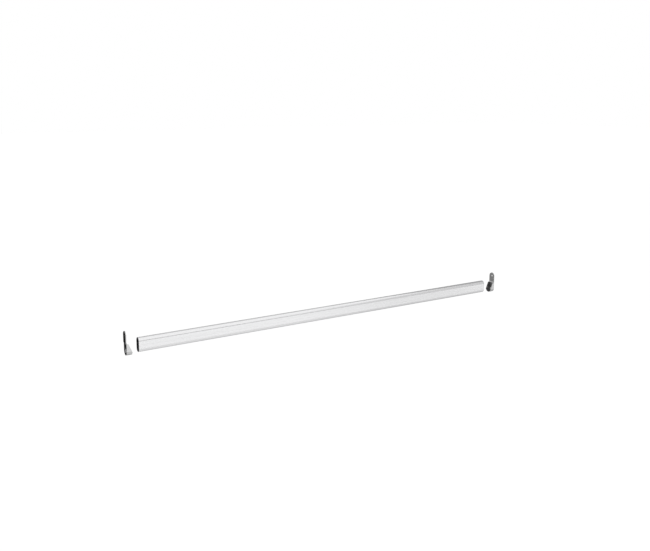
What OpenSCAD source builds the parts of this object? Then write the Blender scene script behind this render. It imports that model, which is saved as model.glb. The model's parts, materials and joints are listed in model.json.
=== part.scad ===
// Oval wardrobe rail with its two end brackets, drawn apart along the rail's axis.
// X runs along the rail, Z is up, and the left bracket's wall face lies at X = 0.
// Z = 0 is half way between the two screw holes of a bracket. All sizes are in millimetres.

/* [Rail] */
// Length of the oval tube
rail_l = 912; // [300:1:1200]
// Height of the oval section
rail_h = 30; // [26:0.5:34]
// Width of the oval section, whose top and bottom are full rounds
rail_w = 15; // [13:0.5:18]
// Wall of the tube
rail_wall = 1.2; // [0.8:0.1:2]
// Size of the small bevel round both ends of the tube
rail_bevel = 0.3; // [0.1:0.05:0.6]

/* [Layout] */
// Distance from the left bracket's wall face to the rail's end, as laid out
left_gap = 25.8; // [18:0.1:60]
// Distance from the right bracket's wall face to the rail's end, as laid out
right_gap = 34.3; // [18:0.1:60]

/* [Cup] */
// Clearance between the rail and the inside of the cup
seat_gap = 0.3; // [0.2:0.05:0.6]
// Thickness of the two side walls
cup_wall = 1.3; // [1:0.1:2]
// Thickness of the cup under the rail
cup_floor = 2.4; // [1.4:0.1:4]
// Thickness of the cup's back plate
cup_back = 1.5; // [1.2:0.1:3]
// Depth of the cup at its lip, from the back of the back plate
cup_reach = 11.5; // [9:0.5:18]
// Depth of the side walls at their top, from the back of the back plate
top_reach = 4.4; // [3.6:0.2:7]
// Height above the underside at which the lip starts to slant back
lip_h = 7.2; // [5:0.2:12]
// Height of the side walls above the underside
wall_h = 24; // [18:0.5:26]
// Corner radius of the side walls at the lip
lip_round = 2; // [0.5:0.1:3]
// Corner radius of the side walls at their top
top_round = 1; // [0.3:0.1:1.5]

/* [Tongue] */
// Width of the tongue, whose top is a full round
tongue_w = 17; // [12:0.5:18]
// Thickness of the tongue
tongue_t = 1.5; // [1.2:0.1:2.5]
// How far the tongue stands out towards the wall from the back of the cup
tongue_step = 1; // [0.6:0.1:2]
// Height over which the tongue slopes out to the wall
step_rise = 3.5; // [2:0.5:5]
// Height of that slope's lower end above the top of the side walls, negative where it is below it
step_above = -1.2; // [-2:0.1:2]

/* [Screw holes] */
// Distance between the two screw holes of a bracket
hole_pitch = 32; // [30:0.5:40]
// Diameter of the screw holes
hole_d = 3.6; // [3.2:0.1:5]
// Diameter of the countersink in the cup
head_d = 7.2; // [6:0.1:8]
// Straight length left in the tongue's hole below its countersink
hole_land = 0.7; // [0.3:0.1:0.8]
// Diameter of the round pad behind the lower hole
pad_d = 10; // [8:0.5:12]

/* [Hidden] */
$fn = 96;
eps = 0.01;
// Play left between the rail's end and the cup's back plate when the rail is home
end_play = seat_gap;
rail_r = rail_w / 2;
rail_straight = rail_h - rail_w;
cup_r = rail_r + seat_gap + cup_wall;
half_width = max(cup_r, tongue_w / 2);
hole_low_z = -hole_pitch / 2;
hole_high_z = hole_pitch / 2;
cup_base_z = hole_low_z - cup_r;
rail_z = cup_base_z + cup_floor + seat_gap + rail_h / 2;
wall_top_z = cup_base_z + wall_h;
step_low_z = wall_top_z + step_above;
step_high_z = step_low_z + step_rise;
tongue_top_z = hole_high_z + tongue_w / 2;
seat_x = tongue_step + cup_back;
overall_l = left_gap + rail_l + right_gap;
left_travel = left_gap - seat_x - end_play;
right_travel = right_gap - seat_x - end_play;
echo(overall_l = overall_l, rail_z = rail_z, cup_base_z = cup_base_z, tongue_top_z = tongue_top_z);
echo(left_travel = left_travel, right_travel = right_travel, seat_x = seat_x, cup_r = cup_r);

// Unit vector from point a to point b
function toward(a, b) = (b - a) / norm(b - a);

// Half of the angle at corner c between its neighbours a and b
function half_angle(a, c, b) = acos(toward(c, a) * toward(c, b)) / 2;

// Outline whose outward corners are rounded by true arcs of the given radii
module rounded_outline(points, radii) {
    count = len(points);
    ends = [for (i = [0 : count - 1])
        let (c = points[i], a = points[(i + count - 1) % count], b = points[(i + 1) % count])
        let (back = radii[i] / tan(half_angle(a, c, b)))
        each [c + toward(c, a) * back, c + toward(c, b) * back]];
    polygon(ends);
    for (i = [0 : count - 1])
        let (c = points[i], a = points[(i + count - 1) % count], b = points[(i + 1) % count])
        let (inward = toward([0, 0], toward(c, a) + toward(c, b)))
        if (radii[i] > 0)
            translate(c + inward * radii[i] / sin(half_angle(a, c, b)))
                circle(r = radii[i]);
}

// Oval with round ends, drawn upright about its centre
module oval(r, straight) {
    translate([0, straight / 2]) circle(r = r);
    translate([0, -straight / 2]) circle(r = r);
    square([2 * r, straight], center = true);
}

// Puts a flat outline drawn in Y and Z upright and gives it a length along X
module along_x(x, length) {
    translate([x, 0, 0]) rotate([90, 0, 90]) linear_extrude(length) children();
}

// Puts a flat outline drawn in X and Z upright, as wide along Y as the bracket's widest part
module across_y() {
    translate([0, half_width, 0]) rotate([90, 0, 0]) linear_extrude(2 * half_width) children();
}

// Tube with its ends bevelled outside by a shallow step of the same oval
module rail() {
    color("#dcdddf")
    translate([left_gap, 0, rail_z])
    difference() {
        union() {
            along_x(0, rail_l) oval(rail_r - rail_bevel, rail_straight);
            along_x(rail_bevel, rail_l - 2 * rail_bevel) oval(rail_r, rail_straight);
        }
        along_x(-eps, rail_l + 2 * eps) oval(rail_r - rail_wall, rail_straight);
    }
}

// Outline of the back plate and tongue, seen along the rail
module back_outline() {
    translate([0, hole_low_z]) circle(r = cup_r);
    translate([-cup_r, hole_low_z]) square([2 * cup_r, wall_top_z - hole_low_z]);
    translate([-tongue_w / 2, hole_low_z]) square([tongue_w, hole_high_z - hole_low_z]);
    translate([0, hole_high_z]) circle(r = tongue_w / 2);
}

// Side view of the back plate, with the slope that brings the tongue out to the wall
module back_profile() {
    polygon([
        [tongue_step, cup_base_z],
        [seat_x, cup_base_z],
        [seat_x, step_low_z],
        [tongue_t, step_high_z],
        [tongue_t, tongue_top_z],
        [0, tongue_top_z],
        [0, step_high_z],
        [tongue_step, step_low_z]]);
}

// Side view of the cup, with its slanted front edge
module cup_profile() {
    translate([tongue_step, cup_base_z])
        rounded_outline(
            [[0, 0], [cup_reach, 0], [cup_reach, lip_h], [top_reach, wall_h], [0, wall_h]],
            [0, 0, lip_round, top_round, 0]);
}

// Outline of the cup outside, open upwards past the side walls
module cup_outline() {
    translate([0, hole_low_z]) circle(r = cup_r);
    translate([-cup_r, hole_low_z]) square([2 * cup_r, wall_top_z - hole_low_z]);
}

// Outline of the rail's seat, which follows the rail with the seat clearance
module seat_outline() {
    translate([0, rail_z - rail_straight / 2]) circle(r = rail_r + seat_gap);
    translate([-rail_r - seat_gap, rail_z - rail_straight / 2]) square([2 * (rail_r + seat_gap), wall_h]);
}

// Screw hole along X, countersunk from the face at face_x
module screw_hole(z, face_x, sink) {
    translate([-eps, 0, z]) rotate([0, 90, 0]) cylinder(d = hole_d, h = face_x + 2 * eps);
    translate([face_x - sink, 0, z]) rotate([0, 90, 0])
        cylinder(d1 = hole_d, d2 = hole_d + 2 * sink, h = sink);
    translate([face_x, 0, z]) rotate([0, 90, 0]) cylinder(d = hole_d + 2 * sink, h = eps);
}

// Cast end bracket, with its wall face at X = 0 and its cup open towards +X and upwards
module bracket() {
    difference() {
        union() {
            intersection() {
                across_y() back_profile();
                along_x(0, seat_x) back_outline();
            }
            difference() {
                intersection() {
                    across_y() cup_profile();
                    along_x(tongue_step, cup_reach) cup_outline();
                }
                along_x(seat_x, cup_reach) seat_outline();
            }
            translate([0, 0, hole_low_z]) rotate([0, 90, 0]) cylinder(d = pad_d, h = seat_x);
        }
        screw_hole(hole_low_z, seat_x, (head_d - hole_d) / 2);
        screw_hole(hole_high_z, tongue_t, tongue_t - hole_land);
    }
}

module left_bracket() {
    color("#c6c7c9") bracket();
}

// The same casting turned round for the other end
module right_bracket() {
    color("#c6c7c9") translate([overall_l, 0, 0]) rotate([0, 0, 180]) bracket();
}

rail();
left_bracket();
right_bracket();
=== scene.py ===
# Oval wardrobe rail with its two cup brackets, laid out past its ends along the tube
import json
import math

import bmesh
import bpy
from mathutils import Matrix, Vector

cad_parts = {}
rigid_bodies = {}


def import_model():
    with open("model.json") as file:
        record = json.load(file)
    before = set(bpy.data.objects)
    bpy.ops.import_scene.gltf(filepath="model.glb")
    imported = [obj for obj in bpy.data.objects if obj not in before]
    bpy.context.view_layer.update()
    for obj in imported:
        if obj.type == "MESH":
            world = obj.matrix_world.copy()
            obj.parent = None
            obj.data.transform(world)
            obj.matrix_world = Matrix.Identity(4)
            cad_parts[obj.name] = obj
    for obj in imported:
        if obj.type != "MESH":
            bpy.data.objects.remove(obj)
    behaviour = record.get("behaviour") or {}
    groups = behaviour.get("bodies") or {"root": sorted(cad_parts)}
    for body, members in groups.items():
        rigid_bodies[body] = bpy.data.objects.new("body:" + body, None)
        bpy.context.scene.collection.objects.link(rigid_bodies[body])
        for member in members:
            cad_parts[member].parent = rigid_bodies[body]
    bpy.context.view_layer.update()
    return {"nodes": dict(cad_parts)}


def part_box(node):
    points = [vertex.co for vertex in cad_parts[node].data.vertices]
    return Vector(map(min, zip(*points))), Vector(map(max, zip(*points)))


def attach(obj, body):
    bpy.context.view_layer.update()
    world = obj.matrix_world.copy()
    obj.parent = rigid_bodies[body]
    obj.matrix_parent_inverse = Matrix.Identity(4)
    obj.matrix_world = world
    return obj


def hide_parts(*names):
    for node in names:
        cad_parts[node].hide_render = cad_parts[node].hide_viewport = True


for leftover in list(bpy.data.objects):
    bpy.data.objects.remove(leftover)

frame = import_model()
scene = bpy.context.scene
mm = 0.001
noiseSpan = (0.3, 0.7)  # most of a noise texture's values lie between these
print("frame loaded:", ", ".join(sorted(frame["nodes"])))


# Small helpers

def linear(hexText):
    channels = [int(hexText[i:i + 2], 16) / 255 for i in (1, 3, 5)]
    return [c / 12.92 if c <= 0.04045 else ((c + 0.055) / 1.055) ** 2.4 for c in channels] + [1.0]


def addNode(tree, kind, settings=None, inputs=None):
    # inputs holds a plain value, or another node's output, for each socket by its name or number
    node = tree.nodes.new(kind)
    for name, value in (settings or {}).items():
        setattr(node, name, value)
    for name, value in (inputs or {}).items():
        if isinstance(value, bpy.types.NodeSocket):
            tree.links.new(value, node.inputs[name])
        else:
            node.inputs[name].default_value = value
    return node


def newMaterial(name):
    material = bpy.data.materials.new(name)
    material.use_nodes = True
    material.node_tree.nodes.clear()
    return material, material.node_tree


def addPiece(name, mesh, materials, body, node):
    for material in materials:
        mesh.materials.append(material)
    piece = bpy.data.objects.new(name, mesh)
    scene.collection.objects.link(piece)
    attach(piece, body)
    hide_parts(node)
    return piece


# Camera, at the photograph's viewing angle

camera = {
    "place": (-0.4106, -1.4338, 0.4764),
    "turnDeg": 31.278,      # clockwise from +Y, seen from above
    "downDeg": 8.427,
    "lensMm": 42.119,
    "sensorMm": 36,
    "shiftUp": -0.1,
    "clip": (0.05, 100),
}


def makeCamera():
    data = bpy.data.cameras.new("studioCamera")
    data.lens = camera["lensMm"]
    data.sensor_width = camera["sensorMm"]
    data.shift_y = camera["shiftUp"]
    data.clip_start, data.clip_end = camera["clip"]
    body = bpy.data.objects.new("studioCamera", data)
    body.location = camera["place"]
    tilt = math.radians(90 - camera["downDeg"])
    body.rotation_euler = (tilt, 0, math.radians(-camera["turnDeg"]))
    scene.collection.objects.link(body)
    scene.camera = body
    print("camera placed")


# Anodised aluminium, extruded and then etched matt: the oxide is clear, so it keeps the
# metal's light grey, with a soft sheen and faint lines along the tube from the extrusion die

anodised = {
    "colour": "#F2F2F3",
    "streakColour": "#ECECED",
    "edgeTint": "#9A9A9C",      # darker where it is seen edge-on, matched to the photograph
    "roughness": (0.17, 0.24),
    "dieLineMm": 0.9,           # real die lines are about 0.2 mm apart, drawn coarser to show
    "dieLineRunMm": 420,
    "lineDepthMm": 0.006,
    "etchGrainMm": 0.35,
    "etchShare": 0.35,          # relief of the etched grain beside that of the lines
}

# the same extrusion inside, darkened with painted shade; its shade is matched to the dark tube
# end in the photograph, and is darker than such metal usually is
bore = dict(anodised, colour="#6A6A6C", streakColour="#58585A", edgeTint="#5A5A5C",
            roughness=(0.3, 0.4))


def extrudedAluminium(name, finish):
    material, tree = newMaterial(name)
    place = addNode(tree, "ShaderNodeTexCoord")
    runScale = 1 / (finish["dieLineRunMm"] * mm)
    lineScale = 1 / (finish["dieLineMm"] * mm)
    along = addNode(tree, "ShaderNodeMapping", inputs={
        "Vector": place.outputs["Object"], "Scale": (runScale, lineScale, lineScale)})
    lines = addNode(tree, "ShaderNodeTexNoise", inputs={
        "Vector": along.outputs[0], "Scale": 1.0, "Detail": 3.0, "Roughness": 0.6})
    grain = addNode(tree, "ShaderNodeTexNoise", inputs={
        "Vector": place.outputs["Object"], "Scale": 1 / (finish["etchGrainMm"] * mm),
        "Detail": 2.0})
    colour = addNode(tree, "ShaderNodeMix", {"data_type": "RGBA"}, {
        0: lines.outputs[0], 6: linear(finish["colour"]), 7: linear(finish["streakColour"])})
    matt = addNode(tree, "ShaderNodeMapRange", inputs={
        "Value": lines.outputs[0], "From Min": noiseSpan[0], "From Max": noiseSpan[1],
        "To Min": finish["roughness"][0], "To Max": finish["roughness"][1]})
    relief = addNode(tree, "ShaderNodeMath", {"operation": "MULTIPLY_ADD"}, {
        0: grain.outputs[0], 1: finish["etchShare"], 2: lines.outputs[0]})
    bump = addNode(tree, "ShaderNodeBump", inputs={
        "Strength": 1.0, "Distance": finish["lineDepthMm"] * mm, "Height": relief.outputs[0]})
    metal = addNode(tree, "ShaderNodeBsdfPrincipled", inputs={
        "Base Color": colour.outputs[2], "Metallic": 1.0, "Roughness": matt.outputs[0],
        "Specular Tint": linear(finish["edgeTint"]), "Normal": bump.outputs[0]})
    addNode(tree, "ShaderNodeOutputMaterial", inputs={"Surface": metal.outputs[0]})
    return material


# Sawn aluminium: the tube is taken to be cut to length after anodising, so its ends are bare
# metal with the blade's fine marks. Their colours are darkened with painted shade, matched to the
# photograph, and darker than sawn metal usually is

sawn = {
    "colour": "#5E5E62",
    "markColour": "#525256",
    "roughness": 0.24,
    "markMm": 0.9,              # real blade marks are about 0.2 mm apart, drawn coarser to show
    "markDepthMm": 0.006,
    "markWaver": 1.5,           # bends the marks a little, as a round blade does
    "bandStep": math.tau / 20,  # how far apart Blender draws the bands at a scale of 1
}


def sawnAluminium():
    material, tree = newMaterial("sawn_aluminium_painted_shade")
    place = addNode(tree, "ShaderNodeTexCoord")
    marks = addNode(tree, "ShaderNodeTexWave", {"wave_type": "BANDS", "bands_direction": "Z"}, {
        "Vector": place.outputs["Object"], "Scale": sawn["bandStep"] / (sawn["markMm"] * mm),
        "Distortion": sawn["markWaver"], "Detail": 2.0, "Detail Scale": 3.0})
    colour = addNode(tree, "ShaderNodeMix", {"data_type": "RGBA"}, {
        0: marks.outputs[1], 6: linear(sawn["colour"]), 7: linear(sawn["markColour"])})
    bump = addNode(tree, "ShaderNodeBump", inputs={
        "Strength": 1.0, "Distance": sawn["markDepthMm"] * mm, "Height": marks.outputs[1]})
    metal = addNode(tree, "ShaderNodeBsdfPrincipled", inputs={
        "Base Color": colour.outputs[2], "Metallic": 1.0, "Roughness": sawn["roughness"],
        "Normal": bump.outputs[0]})
    addNode(tree, "ShaderNodeOutputMaterial", inputs={"Surface": metal.outputs[0]})
    return material


# Nickel-plated zinc, die cast: a satin plate over a casting, a little darker than the tube,
# softly uneven in sheen, drawn lighter on its fillets, and with painted shade in its hollows
# and on its front edges

nickel = {
    "colour": "#D6D6D6",
    "cloudColour": "#CDCDCD",
    "lightFilletColour": "#DADADA",
    "paintedShadeColour": "#707070",  # painted shade for the hollows and front edges, matched to the photograph
    "edgeTint": "#848484",
    "roughness": (0.10, 0.15),
    "cloudMm": 7,
    "peelMm": 1.4,              # slight waviness of the cast skin
    "peelDepthMm": 0.02,
}


def nickelPlatedZinc():
    material, tree = newMaterial("satin_nickel_plated_zinc_casting")
    place = addNode(tree, "ShaderNodeTexCoord")
    clouds = addNode(tree, "ShaderNodeTexNoise", inputs={
        "Vector": place.outputs["Object"], "Scale": 1 / (nickel["cloudMm"] * mm), "Detail": 3.0})
    peel = addNode(tree, "ShaderNodeTexNoise", inputs={
        "Vector": place.outputs["Object"], "Scale": 1 / (nickel["peelMm"] * mm), "Detail": 1.0})
    lightFillet = addNode(tree, "ShaderNodeAttribute", {"attribute_name": casting["lightFilletName"]})
    paintedShade = addNode(tree, "ShaderNodeAttribute", {"attribute_name": casting["paintedShadeName"]})
    base = addNode(tree, "ShaderNodeMix", {"data_type": "RGBA"}, {
        0: clouds.outputs[0], 6: linear(nickel["colour"]), 7: linear(nickel["cloudColour"])})
    # the fillets are drawn a little lighter
    withLightFillets = addNode(tree, "ShaderNodeMix", {"data_type": "RGBA"}, {
        0: lightFillet.outputs["Fac"], 6: base.outputs[2], 7: linear(nickel["lightFilletColour"])})
    # painted shade: the hollows, the back plate and the front edges are mixed towards a dark grey
    colour = addNode(tree, "ShaderNodeMix", {"data_type": "RGBA"}, {
        0: paintedShade.outputs["Fac"], 6: withLightFillets.outputs[2], 7: linear(nickel["paintedShadeColour"])})
    satin = addNode(tree, "ShaderNodeMapRange", inputs={
        "Value": clouds.outputs[0], "From Min": noiseSpan[0], "From Max": noiseSpan[1],
        "To Min": nickel["roughness"][0], "To Max": nickel["roughness"][1]})
    bump = addNode(tree, "ShaderNodeBump", inputs={
        "Strength": 1.0, "Distance": nickel["peelDepthMm"] * mm, "Height": peel.outputs[0]})
    metal = addNode(tree, "ShaderNodeBsdfPrincipled", inputs={
        "Base Color": colour.outputs[2], "Metallic": 1.0, "Roughness": satin.outputs[0],
        "Specular Tint": linear(nickel["edgeTint"]), "Normal": bump.outputs[0]})
    addNode(tree, "ShaderNodeOutputMaterial", inputs={"Surface": metal.outputs[0]})
    return material


# The tube: one closed wall, outside, round its sawn ends and through its bore, with broken edges

tube = {
    "wallMm": 1.2,
    "outerRoundMm": 0.45,       # guessed, more than the solid's bevel, to widen the dark end
    "innerRoundMm": 0.15,
    "halfCircleSteps": 32,
    "flatSteps": 6,
    "roundSteps": 4,
    "bays": 24,                 # lengths between its cross rings
    "skin": 0,                  # places of its three finishes in its list of materials
    "cut": 1,
    "bore": 2,
}


def ovalPoints(radius, straight, steps, flatSteps):
    # the same number of points for each radius, so that rings of different sizes join in quads
    points = []
    for end in (1, -1):
        for i in range(steps + 1):
            angle = math.pi * i / steps + (0 if end > 0 else math.pi)
            points.append((radius * math.cos(angle),
                           end * straight / 2 + radius * math.sin(angle)))
        for i in range(1, flatSteps):
            points.append((-end * radius, end * straight * (0.5 - i / flatSteps)))
    return points


def makeTube(materials):
    low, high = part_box("rail")
    radius = (high.y - low.y) / 2
    straight = (high.z - low.z) - 2 * radius
    middle = (low.z + high.z) / 2
    wall = tube["wallMm"] * mm
    outer = tube["outerRoundMm"] * mm
    inner = tube["innerRoundMm"] * mm

    # each ring is its depth into the wall and its distance from the tube's end
    quarter = [math.pi / 2 * i / tube["roundSteps"] for i in range(tube["roundSteps"] + 1)]
    endRings = [(outer * (1 - math.cos(a)), outer * (1 - math.sin(a))) for a in quarter]
    endRings += [(wall - inner * (1 - math.sin(a)), inner * (1 - math.cos(a))) for a in quarter]
    length = high.x - low.x
    bays = [length * i / tube["bays"] for i in range(1, tube["bays"])]
    rings = [(depth, low.x + back) for depth, back in endRings]
    rings += [(wall, low.x + x) for x in bays]
    rings += [(depth, high.x - back) for depth, back in reversed(endRings)]
    rings += [(0, low.x + x) for x in reversed(bays)]

    shape = bmesh.new()
    loops = []
    for depth, x in rings:
        section = ovalPoints(radius - depth, straight, tube["halfCircleSteps"], tube["flatSteps"])
        loops.append([shape.verts.new((x, y, middle + z)) for y, z in section])
    cuts = len(endRings) - 1
    inBore = len(bays) + 1
    bands = [tube["cut"]] * cuts + [tube["bore"]] * inBore + [tube["cut"]] * cuts
    bands += [tube["skin"]] * inBore
    for i, (loop, finish) in enumerate(zip(loops, bands)):
        after = loops[(i + 1) % len(loops)]
        for j, corner in enumerate(loop):
            k = (j + 1) % len(loop)
            face = shape.faces.new((corner, loop[k], after[k], after[j]))
            face.smooth = True
            face.material_index = finish
    bmesh.ops.recalc_face_normals(shape, faces=shape.faces)
    mesh = bpy.data.meshes.new("oval_tube")
    shape.to_mesh(mesh)
    shape.free()
    piece = addPiece("oval_tube", mesh, materials, "rail", "rail")
    piece.modifiers.new("evenShading", "WEIGHTED_NORMAL")
    print("tube made:", len(mesh.polygons), "faces")


# The brackets: the casting's own surfaces, with cast fillets along their edges

casting = {
    "holeEdgeMm": 0.12,
    "edgeMm": 0.22,
    "edgeSteps": 4,
    "edgeProfile": 0.5,         # a round fillet
    "mergeMm": 0.001,
    "flatDeg": 0.5,             # faces that turn less than this from each other become one
    "sharpDeg": 8,
    "holeReachMm": 4.0,         # edges closer than this to a screw hole's axis belong to the hole
    "holeHeightsMm": (-16, 16),
    "lightFilletName": "lightFillet",     # 1 on the fillets, which are drawn a little brighter
    "paintedShadeName": "paintedShade",     # up to 1 where the plate is darkened with painted shade
    "paintedShadeFromMm": 2.3,        # distance from the wall at which the cup's inside begins
    "plateShare": 0.6,          # share of that painted shade on the cup's back plate
    "lipFromMm": 3.0,           # distance from the wall at which the front edges begin
    "lipShare": 0.6,            # and its share on them
    "towardRail": 0.3,          # how far a face looks along the rail to count as one of these
    "cupAxisMm": -15.5,         # height of the axis of the cup's round inside
    "tongueHoleMm": (16, 3.2),  # height of its axis, and the radius that holds its countersink
}


def nearHole(edge):
    reach = casting["holeReachMm"] * mm
    return any(math.hypot(corner.co.y, corner.co.z - height * mm) < reach
               for corner in edge.verts for height in casting["holeHeightsMm"])


def inTongueHole(face):
    height, radius = casting["tongueHoleMm"]
    return all(math.hypot(corner.co.y, corner.co.z - height * mm) < radius * mm
               for corner in face.verts)


def paintedShadeShare(face, low, high, onLeft):
    # how much painted shade a face gets: 1 in the tongue's hole and on the cup's walls inside, 0
    # outside, and a share between
    centre = face.calc_center_median()
    depth = centre.x - low.x if onLeft else high.x - centre.x
    looksAlong = (face.normal.x if onLeft else -face.normal.x) > casting["towardRail"]
    toAxis = Vector((0, -centre.y, max(0, casting["cupAxisMm"] * mm - centre.z)))
    if depth < casting["paintedShadeFromMm"] * mm:
        return 1.0 if inTongueHole(face) else 0.0
    if looksAlong and depth < casting["lipFromMm"] * mm:
        return casting["plateShare"]
    if face.normal.dot(toAxis) > 0:
        return 1.0
    return casting["lipShare"] if looksAlong else 0.0


def makeBracket(name, node, materials):
    shape = bmesh.new()
    shape.from_mesh(frame["nodes"][node].data)
    bmesh.ops.remove_doubles(shape, verts=shape.verts, dist=casting["mergeMm"] * mm)
    bmesh.ops.dissolve_limit(shape, angle_limit=math.radians(casting["flatDeg"]),
                             verts=shape.verts, edges=shape.edges)
    lightFillet = shape.faces.layers.float.new(casting["lightFilletName"])
    sharp = [e for e in shape.edges if e.calc_face_angle(0) > math.radians(casting["sharpDeg"])]
    holeEdges = [e for e in sharp if nearHole(e)]
    castEdges = [e for e in sharp if not nearHole(e)]
    for edges, size in ((castEdges, casting["edgeMm"]), (holeEdges, casting["holeEdgeMm"])):
        fillets = bmesh.ops.bevel(
            shape, geom=edges, offset=size * mm, segments=casting["edgeSteps"],
            profile=casting["edgeProfile"], affect="EDGES", clamp_overlap=True, loop_slide=True)
        for face in fillets["faces"]:
            face[lightFillet] = 1.0
    # painted shade on the cup's inside, its back plate, its front edges and the tongue's hole
    paintedShade = shape.faces.layers.float.new(casting["paintedShadeName"])
    low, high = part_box(node)
    for face in shape.faces:
        face.smooth = True
        face[paintedShade] = paintedShadeShare(face, low, high, node == "left_bracket")
    mesh = bpy.data.meshes.new(name)
    shape.to_mesh(mesh)
    shape.free()
    piece = addPiece(name, mesh, materials, node, node)
    piece.modifiers.new("evenShading", "WEIGHTED_NORMAL")
    print(name, "made:", len(mesh.polygons), "faces")


# Studio: a pale floor well below the rail, white all round, a soft lamp overhead, and black,
# grey and pale cards that only the metal mirrors

studio = {
    "floorZ": -0.9,
    "floorSize": 60,
    "floorColour": "#F4F4F4",
    "floorLift": 0.38,      # glow that only the camera and reflections see, which shows it white
    "worldLight": 0.7,      # light that falls on things, while the eye sees the world white
    "lampPlace": (0.7, -0.6, 1.8),
    "lampAim": (0.5, 0, 0),
    "lampSize": (3.0, 1.2),
    "lampWatts": 5,
}

# name, first corner, first side, second side, shade; the mats lie just over the floor. All were
# placed by trial until the reflections matched the photograph
cards = (
    ("blackMatBehind", (-1.15, 2.1, -0.88), (0.75, 0, 0), (0, 1.7, 0), 0.04),
    ("blackMatNear", (-0.35, 1.65, -0.88), (0.45, 0, 0), (0, 0.6, 0), 0.04),
    ("greyMatBehind", (-2.5, 1.9, -0.88), (1.35, 0, 0), (0, 2.0, 0), 0.26),
    ("paleMatBehind", (0.2, 1.3, -0.88), (4.4, 0, 0), (0, 3.4, 0), 0.9),
    ("blackMatFront", (-2.1, -3.2, -0.88), (0.9, 0, 0), (0, 0.8, 0), 0.04),
    ("paleMatBelow", (-0.4, -2.1, -0.88), (3.6, 0, 0), (0, 3.2, 0), 0.8),
    ("paleMatBelowRight", (1.1, -1.7, -0.87), (2.1, 0, 0), (0, 2.8, 0), 0.72),
    ("paleMatRight", (2.3, -5.0, -0.87), (1.25, 0, 0), (0, 3.3, 0), 0.87),
    ("greyBandInFront", (-0.6, -3.0, -0.58), (6.0, 0, 0), (0, 0, 1.13), 0.6),
    ("greyFlagRight", (2.2, -2.6, 0.1), (0, 2.3, 0), (0, 0, 1.6), 0.68),
    ("darkFlagRight", (2.2, -0.3, 0.5), (0, 1.9, 0), (0, 0, 1.5), 0.45),
    ("greyFlagBehind", (-1.6, 2.1, 0.05), (1.0, 0, 0), (0, 0, 0.9), 0.6),
    ("darkPanelByCamera", (-1.07, -1.54, 0.25), (0.58, -0.55, 0), (0, 0, 0.7), 0.05),
    ("paleCardOverhead", (-1.5, 0.5, 2.0), (5.0, 0, 0), (0, 3.0, 0), 0.68),
)


def seenRays(tree):
    # 1 where the camera, a reflection or a clear part looks, and 0 for light that falls on things
    ray = addNode(tree, "ShaderNodeLightPath")
    looks = addNode(tree, "ShaderNodeMath", {"operation": "ADD"}, {
        0: ray.outputs["Is Camera Ray"], 1: ray.outputs["Is Glossy Ray"]})
    allLooks = addNode(tree, "ShaderNodeMath", {"operation": "ADD", "use_clamp": True}, {
        0: looks.outputs[0], 1: ray.outputs["Is Transmission Ray"]})
    return allLooks.outputs[0]


def makeWorld():
    world = bpy.data.worlds.new("whiteStudio")
    scene.world = world
    world.use_nodes = True
    tree = world.node_tree
    tree.nodes.clear()
    light = addNode(tree, "ShaderNodeBackground", inputs={
        "Color": (1, 1, 1, 1), "Strength": studio["worldLight"]})
    white = addNode(tree, "ShaderNodeBackground", inputs={"Color": (1, 1, 1, 1), "Strength": 1.0})
    both = addNode(tree, "ShaderNodeMixShader", inputs={
        0: seenRays(tree), 1: light.outputs[0], 2: white.outputs[0]})
    addNode(tree, "ShaderNodeOutputWorld", inputs={"Surface": both.outputs[0]})


def addStageRectangle(name, corner, firstSide, secondSide, material):
    a, u, v = Vector(corner), Vector(firstSide), Vector(secondSide)
    mesh = bpy.data.meshes.new(name)
    mesh.from_pydata([a, a + u, a + u + v, a + v], [], [(0, 1, 2, 3)])
    mesh.materials.append(material)
    piece = bpy.data.objects.new(name, mesh)
    scene.collection.objects.link(piece)
    return piece


def makeFloor():
    material, tree = newMaterial("matt_white_paper")
    paper = addNode(tree, "ShaderNodeBsdfDiffuse", inputs={
        "Color": linear(studio["floorColour"])})
    unlit = addNode(tree, "ShaderNodeEmission", inputs={"Strength": 0.0})
    lift = addNode(tree, "ShaderNodeEmission", inputs={"Strength": studio["floorLift"]})
    shown = addNode(tree, "ShaderNodeMixShader", inputs={
        0: seenRays(tree), 1: unlit.outputs[0], 2: lift.outputs[0]})
    both = addNode(tree, "ShaderNodeAddShader", inputs={0: paper.outputs[0], 1: shown.outputs[0]})
    addNode(tree, "ShaderNodeOutputMaterial", inputs={"Surface": both.outputs[0]})
    size = studio["floorSize"]
    corner = (-size / 2, -size / 2, studio["floorZ"])
    addStageRectangle("floor", corner, (size, 0, 0), (0, size, 0), material)


def makeCards():
    for name, corner, firstSide, secondSide, shade in cards:
        material, tree = newMaterial(name + "Paper")
        paper = addNode(tree, "ShaderNodeEmission", inputs={"Strength": shade})
        addNode(tree, "ShaderNodeOutputMaterial", inputs={"Surface": paper.outputs[0]})
        card = addStageRectangle(name, corner, firstSide, secondSide, material)
        card.visible_camera = False
        card.visible_diffuse = False
        card.visible_shadow = False


def makeLamp():
    data = bpy.data.lights.new("overheadSoftbox", "AREA")
    data.shape = "RECTANGLE"
    data.size, data.size_y = studio["lampSize"]
    data.energy = studio["lampWatts"]
    lamp = bpy.data.objects.new("overheadSoftbox", data)
    lamp.location = studio["lampPlace"]
    aim = Vector(studio["lampAim"]) - Vector(studio["lampPlace"])
    lamp.rotation_euler = aim.to_track_quat("-Z", "Y").to_euler()
    lamp.visible_camera = False
    lamp.visible_glossy = False     # the white all round already stands for it in the metal
    scene.collection.objects.link(lamp)


makeCamera()
makeTube([
    extrudedAluminium("extruded_anodised_aluminium", anodised),
    sawnAluminium(),
    extrudedAluminium("aluminium_bore_painted_shade", bore),
])
nickelFinish = nickelPlatedZinc()
makeBracket("left_cup_bracket", "left_bracket", [nickelFinish])
makeBracket("right_cup_bracket", "right_bracket", [nickelFinish])
makeWorld()
makeFloor()
makeCards()
makeLamp()
scene.view_settings.view_transform = "Standard"
print("studio set")
